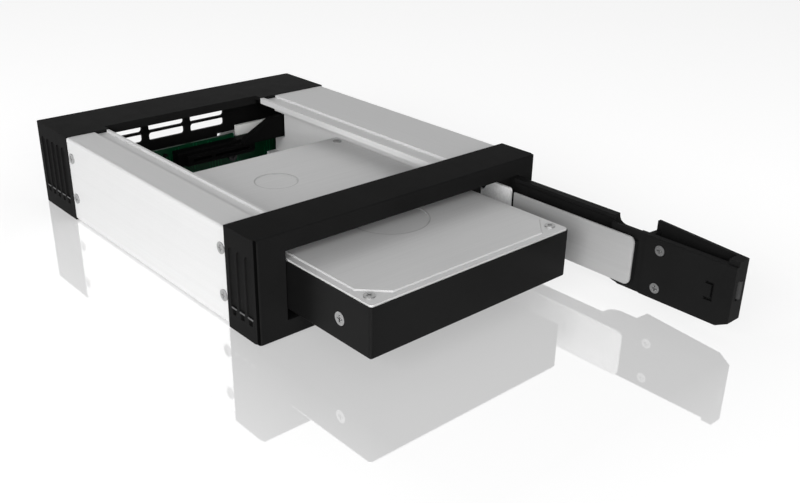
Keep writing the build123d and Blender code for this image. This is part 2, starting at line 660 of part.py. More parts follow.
def backplane_board():
    """Upright circuit board behind the drive, lower at its right end."""
    step_x = BOARD_RIGHT - BOARD_STEP_WIDTH
    face = outline((BOARD_LEFT, BOARD_BOTTOM), (BOARD_RIGHT, BOARD_BOTTOM), (BOARD_RIGHT, BOARD_STEP_TOP),
                   (step_x, BOARD_STEP_TOP), (step_x, BOARD_TOP), (BOARD_LEFT, BOARD_TOP))
    body = along_y(face, BOARD_FRONT_Y, BOARD_BACK_Y)
    hole = BOARD_SCREW_RADIUS + SCREW_CLEARANCE
    for x, z in board_screw_spots():
        body -= rod((x, BOARD_FRONT_Y - 1, z), (0, 1, 0), hole, BOARD_THICKNESS + 2)
    return body


def board_screws():
    """Screws that hold the board to the cap's posts."""
    one = screw(BOARD_HEAD_RADIUS, BOARD_HEAD_HEIGHT, BOARD_SCREW_RADIUS, SIDE_SHANK_LENGTH)
    return [turned(one, (x, BOARD_FRONT_Y, z), (0, -1, 0)) for x, z in board_screw_spots()]


def blade_spots():
    """Left and right X of the data blade and of the power blade, in the plug and in the socket."""
    total = DATA_BLADE + BLADE_GAP + POWER_BLADE
    left = PLUG_X - total / 2
    return [(left, left + DATA_BLADE), (left + DATA_BLADE + BLADE_GAP, left + total)]


def drive_socket():
    """Board socket: a body on the board and a nose with two slots that enters the drive's plug."""
    half = SOCKET_BODY_WIDTH / 2
    rise = SOCKET_BODY_HEIGHT / 2
    body = block(PLUG_X - half, PLUG_X + half, SOCKET_FRONT_Y, BOARD_FRONT_Y, PLUG_Z - rise, PLUG_Z + rise)
    body = chamfer(body.edges().filter_by(Axis.X).group_by(Axis.Y)[0], 0.8)
    nose_half = PLUG_WIDTH / 2 - MATE_GAP
    nose_rise = PLUG_HEIGHT / 2 - MATE_GAP
    nose = block(PLUG_X - nose_half, PLUG_X + nose_half, SOCKET_FRONT_Y - BLADE_LENGTH, SOCKET_FRONT_Y,
                 PLUG_Z - nose_rise, PLUG_Z + nose_rise)
    nose = chamfer(nose.edges().group_by(Axis.Y)[0], 0.5)
    body += nose
    slot = BLADE_THICKNESS / 2 + MATE_GAP / 2
    for left, right in blade_spots():
        body -= block(left - MATE_GAP, right + MATE_GAP, SOCKET_FRONT_Y - BLADE_LENGTH - 1,
                      SOCKET_FRONT_Y + 1, PLUG_Z - slot, PLUG_Z + slot)
    return body


def board_components():
    """A chip and a row of small capacitors on the board's front face, clear of the socket."""
    front = BOARD_FRONT_Y - COMPONENT_HEIGHT
    chip_x = BOARD_LEFT + CHIP_FROM_LEFT - CHIP_SIZE / 2
    chip_z = BOARD_BOTTOM + CHIP_RISE
    pieces = [block(chip_x, chip_x + CHIP_SIZE, front, BOARD_FRONT_Y, chip_z, chip_z + CHIP_SIZE)]
    top = BOARD_TOP - CAPACITOR_DROP + CAPACITOR_HEIGHT / 2
    for index in range(CAPACITOR_COUNT):
        x = BOARD_LEFT + CAPACITOR_FROM_LEFT + index * CAPACITOR_PITCH - CAPACITOR_WIDTH / 2
        pieces.append(block(x, x + CAPACITOR_WIDTH, front, BOARD_FRONT_Y, top - CAPACITOR_HEIGHT, top))
    return pieces


def power_port():
    """White four-way power header on the back of the board, its locking wall standing above the board."""
    right = POWER_PORT_LEFT + POWER_PORT_WIDTH
    top = POWER_PORT_BOTTOM + POWER_PORT_HEIGHT
    face = span(POWER_PORT_LEFT, right, POWER_PORT_BOTTOM, top)
    face = chamfer(face.vertices().group_by(Axis.Y)[-1], POWER_PORT_CORNER)
    body = along_y(face, BOARD_BACK_Y, CAP_BACK_Y - CAP_WALL / 2)
    body += block(POWER_PORT_LEFT, right, BOARD_BACK_Y, BOARD_BACK_Y + POWER_LOCK_THICKNESS,
                  POWER_PORT_BOTTOM, POWER_LOCK_TOP)
    wall = POWER_PORT_WALL
    inner = span(POWER_PORT_LEFT + wall, right - wall, POWER_PORT_BOTTOM + wall, top - wall)
    inner = chamfer(inner.vertices().group_by(Axis.Y)[-1], POWER_PORT_CORNER - wall / 2)
    return body - along_y(inner, CAP_BACK_Y - CAP_WALL / 2 - PORT_SOCKET_DEPTH, CAP_BACK_Y)


def power_pins():
    """The four round pins in the power header."""
    middle = POWER_PORT_LEFT + POWER_PORT_WIDTH / 2
    z = POWER_PORT_BOTTOM + POWER_PORT_HEIGHT / 2
    floor = CAP_BACK_Y - CAP_WALL / 2 - PORT_SOCKET_DEPTH
    pins = []
    for index in range(4):
        x = middle + (index - 1.5) * POWER_PIN_PITCH
        pins.append(rod((x, floor, z), (0, 1, 0), POWER_PIN_RADIUS, PORT_SOCKET_DEPTH - POWER_PIN_DROP))
    return pins


def data_port():
    """Seven-contact data header on the back of the board, with its tongue inside."""
    half = DATA_PORT_WIDTH / 2
    top = DATA_PORT_BOTTOM + DATA_PORT_HEIGHT
    back = CAP_BACK_Y - CAP_WALL / 2
    body = block(DATA_PORT_X - half, DATA_PORT_X + half, BOARD_BACK_Y, back, DATA_PORT_BOTTOM, top)
    wall = POWER_PORT_WALL
    body -= block(DATA_PORT_X - half + wall, DATA_PORT_X + half - wall, back - PORT_SOCKET_DEPTH, back + 1,
                  DATA_PORT_BOTTOM + wall, top - wall)
    tongue_half = DATA_BLADE / 2
    z = DATA_PORT_BOTTOM + DATA_PORT_HEIGHT / 2
    body += block(DATA_PORT_X - tongue_half, DATA_PORT_X + tongue_half, back - PORT_SOCKET_DEPTH, back - 1,
                  z - BLADE_THICKNESS / 2, z + BLADE_THICKNESS / 2)
    return body


def hinge_pin():
    """Steel pin that the door turns on, held top and bottom in the faceplate."""
    length = OPENING_TOP - OPENING_BOTTOM + 2 * PIN_BITE
    return rod((DOOR_HINGE_X, HINGE_Y, OPENING_BOTTOM - PIN_BITE), (0, 0, 1), PIN_RADIUS, length)


def door_plan():
    """Door seen from above: thin skin, quarter-round hinge end and hollow wedge handle."""
    inner_skin = DOOR_OUTER_X - DOOR_SKIN
    box_x = DOOR_COVER_X + COVER_THICKNESS
    wall_start = ahead(NOTCH_END)
    end = ahead(DOOR_END)
    skin = span(inner_skin, DOOR_OUTER_X, wall_start, HINGE_Y)
    radius = DOOR_OUTER_X - DOOR_HINGE_X
    ring = Circle(radius) - Circle(radius - DOOR_SKIN)
    quarter = Pos(DOOR_HINGE_X, HINGE_Y) * (ring & span(0, radius, 0, radius))
    wedge = outline((box_x, wall_start), (DOOR_OUTER_X, wall_start), (WEDGE_X, wall_start - WEDGE_SLANT),
                    (WEDGE_TAIL_X, end), (box_x, end))
    return skin + quarter + wedge


def door_side_outline():
    """Door seen from the side: cut away below near the hinge, finger notch in the top edge."""
    root = HINGE_Y + DOOR_OUTER_X - DOOR_HINGE_X
    end = ahead(DOOR_END)
    near = ahead(DOOR_NEAR_END)
    notch_a = ahead(NOTCH_START)
    notch_b = ahead(NOTCH_END)
    lines = [
        Line((root, DOOR_TOP), (root, DOOR_NEAR_BOTTOM)),
        Line((root, DOOR_NEAR_BOTTOM), (near, DOOR_NEAR_BOTTOM)),
        Bezier((near, DOOR_NEAR_BOTTOM), (near - DOOR_CURVE * 0.3, DOOR_BOTTOM + 0.6),
               (near - DOOR_CURVE, DOOR_BOTTOM)),
        Line((near - DOOR_CURVE, DOOR_BOTTOM), (end + DOOR_CORNER_CUT, DOOR_BOTTOM)),
        Line((end + DOOR_CORNER_CUT, DOOR_BOTTOM), (end, DOOR_BOTTOM + DOOR_CORNER_CUT * CORNER_SLOPE)),
        Line((end, DOOR_BOTTOM + DOOR_CORNER_CUT * CORNER_SLOPE), (end, DOOR_TOP)),
        Line((end, DOOR_TOP), (notch_b, DOOR_TOP)),
        Line((notch_b, DOOR_TOP), (notch_b, NOTCH_BOTTOM)),
        Line((notch_b, NOTCH_BOTTOM), (notch_a - NOTCH_CURVE, NOTCH_BOTTOM)),
        Bezier((notch_a - NOTCH_CURVE, NOTCH_BOTTOM), (notch_a, NOTCH_BOTTOM), (notch_a, DOOR_TOP)),
        Line((notch_a, DOOR_TOP), (root, DOOR_TOP)),
    ]
    return make_face(lines)


def handle_pocket():
    """Finger space inside the wedge handle, open at the top and to the notch, shallower over the latch."""
    inner = DOOR_COVER_X + COVER_THICKNESS + DOOR_SKIN
    start = ahead(NOTCH_END + POCKET_START_WALL)
    end = ahead(POCKET_END)
    tail_x = WEDGE_TAIL_X + TAIL_SLANT - WEDGE_WALL
    face = outline((inner, start), (WEDGE_X - WEDGE_WALL, start), (tail_x, end), (inner, end))
    shallow_floor = BOLT_TOP + BOLT_GAP + WEDGE_WALL
    pocket = along_z(face, POCKET_FLOOR, DOOR_TOP + 1)
    pocket -= block(inner - 1, WEDGE_X + 1, ahead(POCKET_DEEP_END), end - 1, 0, shallow_floor)
    notch_side = ahead(NOTCH_END) + 1
    lowered = block(DOOR_COVER_X, inner + 0.1, end, notch_side, COVER_TOP, DOOR_TOP + 1)
    open_end = block(inner, WEDGE_X - WEDGE_WALL, start - 0.1, notch_side, NOTCH_BOTTOM, DOOR_TOP + 1)
    return pocket + lowered + open_end


def bolt_place():
    """X, Y and Z limits of the latch bolt where the photograph shows it, drawn in."""
    tip = ahead(DOOR_END + BOLT_OUT - BOLT_DRAWN)
    return BOLT_X, BOLT_X + BOLT_THICKNESS, tip, tip + BOLT_LENGTH, BOLT_BOTTOM, BOLT_TOP


def door_shell():
    """Moulded door: skin, top strip, hinge knuckles, wedge handle with its pocket, latch chamber."""
    body = along_z(door_plan(), DOOR_BOTTOM, DOOR_TOP)
    inner_skin = DOOR_OUTER_X - DOOR_SKIN
    strip = span(DOOR_OUTER_X - STRIP_DEPTH, inner_skin + 0.1, STRIP_BOTTOM, DOOR_TOP)
    strip = fillet(strip.vertices().group_by(Axis.Y)[0].sort_by(Axis.X)[0], STRIP_RADIUS)
    body += along_y(strip, ahead(NOTCH_START), FRONT_Y - 1)
    body += block(DOOR_COVER_X + COVER_THICKNESS, inner_skin + 0.1, ahead(NOTCH_END) - 1, ahead(COVER_START),
                  DOOR_BOTTOM, TROUGH_FLOOR)
    body -= block(inner_skin - 1, inner_skin + SKIN_RELIEF, ahead(RELIEF_END), ahead(RELIEF_START),
                  DOOR_BOTTOM, STRIP_BOTTOM)
    body &= along_x(door_side_outline(), LEAF_X - 1, WEDGE_X + 1)
    for z in (DOOR_NEAR_BOTTOM, DOOR_TOP - KNUCKLE_HEIGHT):
        body += rod((DOOR_HINGE_X, HINGE_Y, z), (0, 0, 1), KNUCKLE_RADIUS, KNUCKLE_HEIGHT)
        body += block(DOOR_HINGE_X, inner_skin + 0.1, HINGE_Y - KNUCKLE_RADIUS, HINGE_Y + KNUCKLE_RADIUS,
                      z, z + KNUCKLE_HEIGHT)
    body -= rod((DOOR_HINGE_X, HINGE_Y, DOOR_BOTTOM - 1), (0, 0, 1), PIN_RADIUS + PIN_CLEARANCE,
                DOOR_TOP - DOOR_BOTTOM + 2)
    body -= handle_pocket()
    x0, x1, y0, y1, z0, z1 = bolt_place()
    rest = BOLT_TRAVEL - BOLT_DRAWN + BOLT_GAP
    body -= block(x0 - BOLT_GAP, x1 + BOLT_GAP, y0, y1 + rest, z0 - BOLT_GAP, z1 + BOLT_GAP)
    boss_x = DOOR_COVER_X + COVER_THICKNESS
    for z in (DOOR_SCREW_LOW, DOOR_SCREW_HIGH):
        spot = (boss_x, ahead(DOOR_SCREW_Y), z)
        body += rod(spot, (1, 0, 0), DOOR_BOSS_RADIUS, DOOR_SKIN + DOOR_BOSS_HEIGHT)
        body -= pilot((DOOR_COVER_X, ahead(DOOR_SCREW_Y), z), (1, 0, 0), DOOR_SHANK_RADIUS,
                      DOOR_SHANK_LENGTH + DOOR_HEAD_DEPTH)
    return body


def door_inner_cover():
    """Inner cover of the handle: the leaf's boss, sunk screw seats and a snap-clip slot."""
    start = ahead(COVER_START)
    end = ahead(DOOR_END)
    low = DOOR_BOTTOM + COVER_EDGE
    face = outline((start, DOOR_NEAR_BOTTOM - COVER_EDGE), (ahead(DOOR_NEAR_END + DOOR_CURVE), low),
                   (end + DOOR_CORNER_CUT, low), (end, DOOR_BOTTOM + DOOR_CORNER_CUT * CORNER_SLOPE),
                   (end, COVER_TOP), (start, COVER_TOP))
    x0 = DOOR_COVER_X
    x1 = DOOR_COVER_X + COVER_THICKNESS
    body = along_x(face, x0, x1)
    body = chamfer(body.edges().filter_by(Axis.Y).group_by(Axis.Z)[-1].group_by(Axis.X)[0], COVER_EDGE)
    body -= block(x0 - 1, x0 + COVER_STEP, ahead(COVER_STEP_END), start + 1, 0, COVER_TOP + 1)
    body += block(LEAF_X + LEAF_THICKNESS, x0 + COVER_STEP + 0.1, ahead(LEAF_END), ahead(LEAF_END - LEAF_PAD),
                  LEAF_BOTTOM + LEAF_PAD_EDGE, LEAF_TOP - LEAF_PAD_EDGE)
    for z in (DOOR_SCREW_LOW, DOOR_SCREW_HIGH):
        seat = ahead(DOOR_SCREW_Y)
        body -= rod((x0 - 1, seat, z), (1, 0, 0), DOOR_HEAD_RADIUS + SCREW_CLEARANCE, DOOR_HEAD_DEPTH + 1)
        body -= rod((x0 - 1, seat, z), (1, 0, 0), DOOR_SHANK_RADIUS + SCREW_CLEARANCE, COVER_THICKNESS + 2)
    clip_y = ahead(DOOR_END - CLIP_FROM_END)
    body -= block(x0 - 1, x1 + 1, clip_y, clip_y + CLIP_SLOT, CLIP_BOTTOM, CLIP_TOP)
    for z in (CLIP_BOTTOM, CLIP_TOP - CLIP_SLOT):
        body -= block(x0 - 1, x1 + 1, clip_y, clip_y + CLIP_REACH, z, z + CLIP_SLOT)
    return body


def door_screws():
    """Two cross-head screws through the inner cover."""
    one = screw(DOOR_HEAD_RADIUS, DOOR_HEAD_DEPTH, DOOR_SHANK_RADIUS, DOOR_SHANK_LENGTH)
    x = DOOR_COVER_X + DOOR_HEAD_DEPTH
    return [turned(one, (x, ahead(DOOR_SCREW_Y), z), (-1, 0, 0)) for z in (DOOR_SCREW_LOW, DOOR_SCREW_HIGH)]


def pusher_leaf():
    """Spring steel leaf on the door's inner side, held at its far end and free near the hinge."""
    face = span(ahead(LEAF_END), ahead(LEAF_START), LEAF_BOTTOM, LEAF_TOP)
    far = face.vertices().group_by(Axis.X)[0]
    face = fillet(far, LEAF_RADIUS)
    return along_x(face, LEAF_X, LEAF_X + LEAF_THICKNESS)


def latch_bolt():
    """Latch bolt with a slanted nose."""
    x0, x1, y0, y1, z0, z1 = bolt_place()
    nose = BOLT_OUT + 0.8
    face = outline((x0, y0 + nose), (x0 + BOLT_THICKNESS * 0.6, y0), (x1, y0), (x1, y1), (x0, y1))
    return along_z(face, z0, z1)


def ejector_bar():
    """Flat steel bar in the right rail, with a tall head that shows beside the door's hinge."""
    front = ahead(BAR_FRONT)
    neck = front + BAR_HEAD_LENGTH
    slope_end = neck + BAR_NECK_SLOPE
    face = outline((front, BAR_HEAD_BOTTOM), (neck, BAR_HEAD_BOTTOM), (slope_end, BAR_BOTTOM),
                   (ARM_BACK_Y, BAR_BOTTOM), (ARM_BACK_Y, BAR_TOP), (slope_end, BAR_TOP),
                   (neck, BAR_HEAD_TOP), (front, BAR_HEAD_TOP))
    face = fillet(face.vertices().group_by(Axis.X)[0], BAR_CORNER)
    body = along_x(face, LEAF_X, LEAF_X + BAR_THICKNESS)
    return body - rivet_rods()


def rivet_rods():
    """The two rivets that join the arm to the bar."""
    start = LEAF_X - ARM_OVERLAP
    length = BAR_THICKNESS + 2 * ARM_OVERLAP
    y = (ARM_FRONT_Y + ARM_BACK_Y) / 2
    heights = (BAR_BOTTOM + RIVET_INSET, BAR_TOP - RIVET_INSET)
    return [rod((start, y, z), (1, 0, 0), RIVET_RADIUS, length) for z in heights]


def ejector_arm():
    """Moulded arm through the web's slot, its top sloping down to the tip behind the drive."""
    root = LEAF_X - ARM_OVERLAP
    face = outline((ARM_TIP_X, ARM_BOTTOM), (root, ARM_BOTTOM), (root, ARM_FOOT), (ARM_ROOT_X, ARM_FOOT),
                   (ARM_ROOT_X, ARM_TOP), (ARM_SHOULDER_X, ARM_TOP), (ARM_TIP_X + ARM_TIP_WIDTH, ARM_TIP_TOP),
                   (ARM_TIP_X, ARM_TIP_TOP - ARM_TIP_DROP))
    body = along_y(face, ARM_FRONT_Y, ARM_BACK_Y)
    body -= block(LEAF_X, LEAF_X + BAR_THICKNESS, ARM_FRONT_Y - 1, ARM_BACK_Y + 1, BAR_BOTTOM, BAR_TOP)
    return body - rivet_rods()


def plug_recess():
    """Space in the drive's rear that the plug lies in."""
    half = PLUG_WIDTH / 2
    rise = PLUG_HEIGHT / 2
    return block(PLUG_X - half, PLUG_X + half, DRIVE_REAR_Y - PLUG_DEPTH, DRIVE_REAR_Y + 1,
                 PLUG_Z - rise, PLUG_Z + rise)


def drive_side_holes():
    """Y of the side screw holes of the drive, rear one first."""
    rear = DRIVE_REAR_Y - DRIVE_HOLE_FROM_REAR
    return [rear, rear - DRIVE_HOLE_SPACING]


def board_pocket_limits():
    """X and Y limits of the drive's own circuit board."""
    middle = (DRIVE_LEFT + DRIVE_RIGHT) / 2
    back = DRIVE_REAR_Y - PLUG_DEPTH - DRIVE_BOARD_SETBACK
    return middle - DRIVE_BOARD_WIDTH / 2, middle + DRIVE_BOARD_WIDTH / 2, back - DRIVE_BOARD_LENGTH, back


def drive_base():
    """Cast body of the drive, with side holes, plug recess and a pocket for its board."""
    body = block(DRIVE_LEFT, DRIVE_RIGHT, DRIVE_FRONT_Y, DRIVE_REAR_Y, DRIVE_BOTTOM, LID_BOTTOM)
    body = fillet(body.edges().filter_by(Axis.Z), DRIVE_EDGE_RADIUS)
    body = chamfer(body.edges().group_by(Axis.Z)[0], DRIVE_FOOT_CHAMFER)
    z = DRIVE_BOTTOM + DRIVE_HOLE_RISE
    for y in drive_side_holes():
        for side, x in ((-1, DRIVE_LEFT), (1, DRIVE_RIGHT)):
            body -= rod((x, y, z), (-side, 0, 0), DRIVE_SCREW_RADIUS + SCREW_CLEARANCE, DRIVE_SCREW_SEAT)
            body -= pilot((x, y, z), (-side, 0, 0), SIDE_SHANK_RADIUS, DRIVE_SCREW_LENGTH + DRIVE_SCREW_SEAT)
    body -= plug_recess()
    x0, x1, y0, y1 = board_pocket_limits()
    gap = SCREW_CLEARANCE
    body -= block(x0 - gap, x1 + gap, y0 - gap, y1 + gap,
                  DRIVE_BOTTOM - 1, DRIVE_BOTTOM + DRIVE_BOARD_THICKNESS)
    for x, y in lid_screw_spots():
        body -= pilot((x, y, LID_BOTTOM), (0, 0, -1), LID_SHANK_RADIUS, LID_SHANK_LENGTH)
    return body


def lid_screw_spots():
    """X and Y of the six lid screws."""
    left = DRIVE_LEFT + LID_SCREW_INSET
    right = DRIVE_RIGHT - LID_SCREW_INSET
    first = DRIVE_FRONT_Y + LID_SCREW_FROM_END
    last = DRIVE_REAR_Y - LID_SCREW_FROM_END
    return [(x, y) for x in (left, right) for y in (first, (first + last) / 2, last)]


def embossing(x, y, radius):
    """Shallow round embossing with a sloping edge, as a solid to cut away."""
    resting = (Align.CENTER, Align.CENTER, Align.MIN)
    return Pos(x, y, DRIVE_TOP - EMBOSS) * Cone(radius - EMBOSS, radius, EMBOSS, align=resting)


def drive_lid():
    """Stamped lid: flat rim, raised panel with cut corners, spindle and pivot embossings."""
    x0 = DRIVE_LEFT + LID_INSET
    x1 = DRIVE_RIGHT - LID_INSET
    y0 = DRIVE_FRONT_Y + LID_INSET
    y1 = DRIVE_REAR_Y - LID_INSET
    rim = block(x0, x1, y0, y1, LID_BOTTOM, LID_BOTTOM + LID_THICKNESS)
    rim = fillet(rim.edges().filter_by(Axis.Z), DRIVE_EDGE_RADIUS)
    face = span(x0 + LID_FRONT_RIM, x1 - LID_FRONT_RIM, y0 + LID_FRONT_RIM, y1 - LID_FRONT_RIM)
    face = chamfer(face.vertices(), LID_CHAMFER)
    for x, y in lid_screw_spots():
        face -= Pos(x, y) * Circle(LID_SCREW_SPACE)
    panel = along_z(face, LID_BOTTOM + LID_THICKNESS, DRIVE_TOP)
    panel = chamfer(panel.edges().group_by(Axis.Z)[-1], LID_PANEL_RISE * 0.8)
    body = rim + panel
    body -= embossing(HUB_X, DRIVE_FRONT_Y + HUB_FROM_FRONT, HUB_RADIUS)
    body -= embossing(PIVOT_X, DRIVE_FRONT_Y + PIVOT_FROM_FRONT, PIVOT_RADIUS)
    for x, y in lid_screw_spots():
        body -= rod((x, y, LID_BOTTOM - 1), (0, 0, 1), LID_SHANK_RADIUS + SCREW_CLEARANCE, LID_THICKNESS + 2)
    return body


def lid_screws():
    """Six low screws in the lid's rim."""
    one = screw(LID_SCREW_RADIUS, LID_PANEL_RISE, LID_SHANK_RADIUS, LID_SHANK_LENGTH)
    return [Pos(x, y, LID_BOTTOM + LID_THICKNESS) * one for x, y in lid_screw_spots()]


def drive_side_screws():
    """Flat screws in the drive's side holes, their heads flush."""
    one = screw(DRIVE_SCREW_RADIUS, DRIVE_HEAD_HEIGHT, SIDE_SHANK_RADIUS, DRIVE_SCREW_LENGTH)
    z = DRIVE_BOTTOM + DRIVE_HOLE_RISE
    screws = []
    for y in drive_side_holes():
        screws.append(turned(one, (DRIVE_LEFT + DRIVE_SCREW_SEAT, y, z), (-1, 0, 0)))
        screws.append(turned(one, (DRIVE_RIGHT - DRIVE_SCREW_SEAT, y, z), (1, 0, 0)))
    return screws


def drive_board():
    """The drive's own circuit board in the pocket under it."""
    x0, x1, y0, y1 = board_pocket_limits()
    return block(x0, x1, y0, y1, DRIVE_BOTTOM + DRIVE_BOARD_RISE, DRIVE_BOTTOM + DRIVE_BOARD_THICKNESS)


def drive_plug():
    """The drive's plug: a back plate in the recess and two blades that enter the socket."""
    half = PLUG_WIDTH / 2
    rise = PLUG_HEIGHT / 2
    back = DRIVE_REAR_Y - PLUG_DEPTH
    body = block(PLUG_X - half, PLUG_X + half, back, back + PLUG_PLATE, PLUG_Z - rise, PLUG_Z + rise)
    for left, right in blade_spots():
        thin = BLADE_THICKNESS / 2
        body += block(left, right, back, back + PLUG_PLATE + BLADE_LENGTH, PLUG_Z - thin, PLUG_Z + thin)
    return body


def save(name, shape):
    """Write one node, either one solid or a list of separate ones."""
    if isinstance(shape, list):
        shape = Compound(children=[part for item in shape for part in item.solids()])
    export_step(shape, f"parts/{name}.step")


save("left_rail", rail(-1))
save("right_rail", rail(1))
save("left_rail_screws", rail_screws(-1))
save("right_rail_screws", rail_screws(1))
save("front_bezel", front_bezel())
save("rear_cap", rear_cap())
save("hinge_pin", hinge_pin())
save("backplane_board", backplane_board())
save("board_screws", board_screws())
save("board_components", board_components())
save("drive_socket", drive_socket())
save("power_port", power_port())
save("power_pins", power_pins())
save("data_port", data_port())
save("door_shell", door_shell())
save("door_inner_cover", door_inner_cover())
save("door_screws", door_screws())
save("pusher_leaf", pusher_leaf())
save("latch_bolt", latch_bolt())
save("ejector_bar", ejector_bar())
save("ejector_arm", ejector_arm())
save("ejector_rivets", rivet_rods())
save("drive_base", drive_base())
save("drive_lid", drive_lid())
save("lid_screws", lid_screws())
save("drive_side_screws", drive_side_screws())
save("drive_board", drive_board())
save("drive_plug", drive_plug())
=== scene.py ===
import bmesh
import bpy
import json
import math
from mathutils import Matrix, Vector

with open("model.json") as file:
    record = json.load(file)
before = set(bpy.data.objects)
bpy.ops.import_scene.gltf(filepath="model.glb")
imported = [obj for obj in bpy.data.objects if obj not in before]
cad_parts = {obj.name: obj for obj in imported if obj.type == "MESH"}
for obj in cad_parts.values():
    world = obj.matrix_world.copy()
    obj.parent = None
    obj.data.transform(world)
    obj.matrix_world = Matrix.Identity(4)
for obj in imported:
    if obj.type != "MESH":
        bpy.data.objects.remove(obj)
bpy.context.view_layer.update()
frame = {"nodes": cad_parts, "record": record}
scene = bpy.context.scene
nodes = frame["nodes"]


# Places of painted details, in metres, on the shapes that part.py gives in millimetres
GROOVE_PITCH = 0.0054
BEZEL_GROOVE_Y = -0.005
BEZEL_GROOVES = 3
CAP_GROOVE_Y = 0.1496
CAP_GROOVES = 5
SILL_INSIDE = 0.0728
SILL_LOW = 0.0091
SILL_HIGH = 0.0098
SILL_HALF = 0.0017
PLATE_BACK_Y = -0.0083
PLATE_SIDE_X = 0.0731
HUB_PLACE = (-0.0073, -0.0051)
HUB_RADIUS = 0.0162
PIVOT_PLACE = (-0.0182, 0.057)
PIVOT_RADIUS = 0.0094
# Width of the painted shade along the pressed edge of the lid's sunk discs
CREASE_SHADE_WIDTH = 0.0005

# Textures: reach of a bump in metres, spread of a moulding's tone, scale of its grain
FINE_BUMP = 0.0002
RAIL_BUMP = 0.0003
FLOW_MARKS = 0.12
MOULD_GRAIN = 2600.0

# Display levels, from 0 for black to 1 for white
SHADOW_LINE_LEVEL = 0.05
# Painted highlight on the sills under the grip grooves
SILL_HIGHLIGHT_LEVEL = 0.38
# Painted shade along the pressed edge round each of the lid's sunk discs
CREASE_SHADE_LEVEL = 0.45
CREASE_SHADE_STRENGTH = 0.6
DISPLAY_GAMMA = 2.2

# Solder mask, as linear colours
MASK_GREEN = (0.001, 0.032, 0.012)
TRACK_GREEN = (0.003, 0.075, 0.028)

# Floor: half width, drop under the object, tone, and the mirror image that fades round the object's foot
FLOOR_HALF = 3.0
FLOOR_DROP = 0.0004
FLOOR_TONE = 0.62
FLOOR_GLOW = 0.70
MIRROR_GLOW = 0.03
MIRROR_SHARE = 0.47
MIRROR_ROUGHNESS = 0.03
MIRROR_FADE = 0.16
FOOT_HALF_WIDTH = 0.075
FOOT_FRONT = 0.125
FOOT_BACK = 0.18

# World: where the overhead grey starts, how far up it grows, its level, and the light that it gives
CEILING_START = 0.1
CEILING_SPAN = 0.3
CEILING_GREY = 0.8
WORLD_LIGHT = 0.22

# Lamps: name, place, target, size and power
LAMPS = (
    ("left", (-1.1, -0.35, 0.38), (0.0, 0.03, 0.02), 0.9, 12.0),
    ("front", (-0.6, -1.15, 0.32), (0.0, -0.02, 0.02), 0.8, 11.0),
    ("top", (0.2, 0.2, 1.3), (0.0, 0.05, 0.0), 0.9, 0.3),
)

# Camera at the photo's angle
CAMERA_PLACE = (-0.238304, -0.266967, 0.179191)
CAMERA_TARGET = (-0.008063, -0.012750, 0.020)
CAMERA_ROLL = 1.072
CAMERA_LENS = 42.87
CAMERA_SENSOR = 36.0
CAMERA_NEAR = 0.01

WHITE = (1.0, 1.0, 1.0, 1.0)


# Shader maths
class Socket:
    """An output of a shader node that takes part in sums, products and comparisons."""

    def __init__(self, tree, output):
        self.tree = tree
        self.output = output

    def _math(self, operation, other, swap=False):
        node = self.tree.nodes.new("ShaderNodeMath")
        node.operation = operation
        first, second = (other, self) if swap else (self, other)
        for socket, value in zip(node.inputs, (first, second)):
            if isinstance(value, Socket):
                self.tree.links.new(value.output, socket)
            elif value is not None:
                socket.default_value = value
        return Socket(self.tree, node.outputs[0])

    def __add__(self, other):
        return self._math("ADD", other)

    def __radd__(self, other):
        return self._math("ADD", other, True)

    def __sub__(self, other):
        return self._math("SUBTRACT", other)

    def __rsub__(self, other):
        return self._math("SUBTRACT", other, True)

    def __mul__(self, other):
        return self._math("MULTIPLY", other)

    def __rmul__(self, other):
        return self._math("MULTIPLY", other, True)

    def __truediv__(self, other):
        return self._math("DIVIDE", other)

    def __pow__(self, other):
        return self._math("POWER", other)

    def __mod__(self, other):
        return self._math("FLOORED_MODULO", other)

    def __gt__(self, other):
        return self._math("GREATER_THAN", other)

    def __lt__(self, other):
        return self._math("LESS_THAN", other)

    def __abs__(self):
        return self._math("ABSOLUTE", None)

    def top(self, other):
        """The larger of two values."""
        return self._math("MAXIMUM", other)

    def clamp(self):
        """The value, held between 0 and 1."""
        node = self.tree.nodes.new("ShaderNodeClamp")
        self.tree.links.new(self.output, node.inputs[0])
        return Socket(self.tree, node.outputs[0])


def seen_directly(tree):
    """1 for the camera's rays and for mirror images, 0 for the rays that only carry light."""
    rays = tree.nodes.new("ShaderNodeLightPath")
    return Socket(tree, rays.outputs["Is Camera Ray"]).top(Socket(tree, rays.outputs["Is Glossy Ray"]))


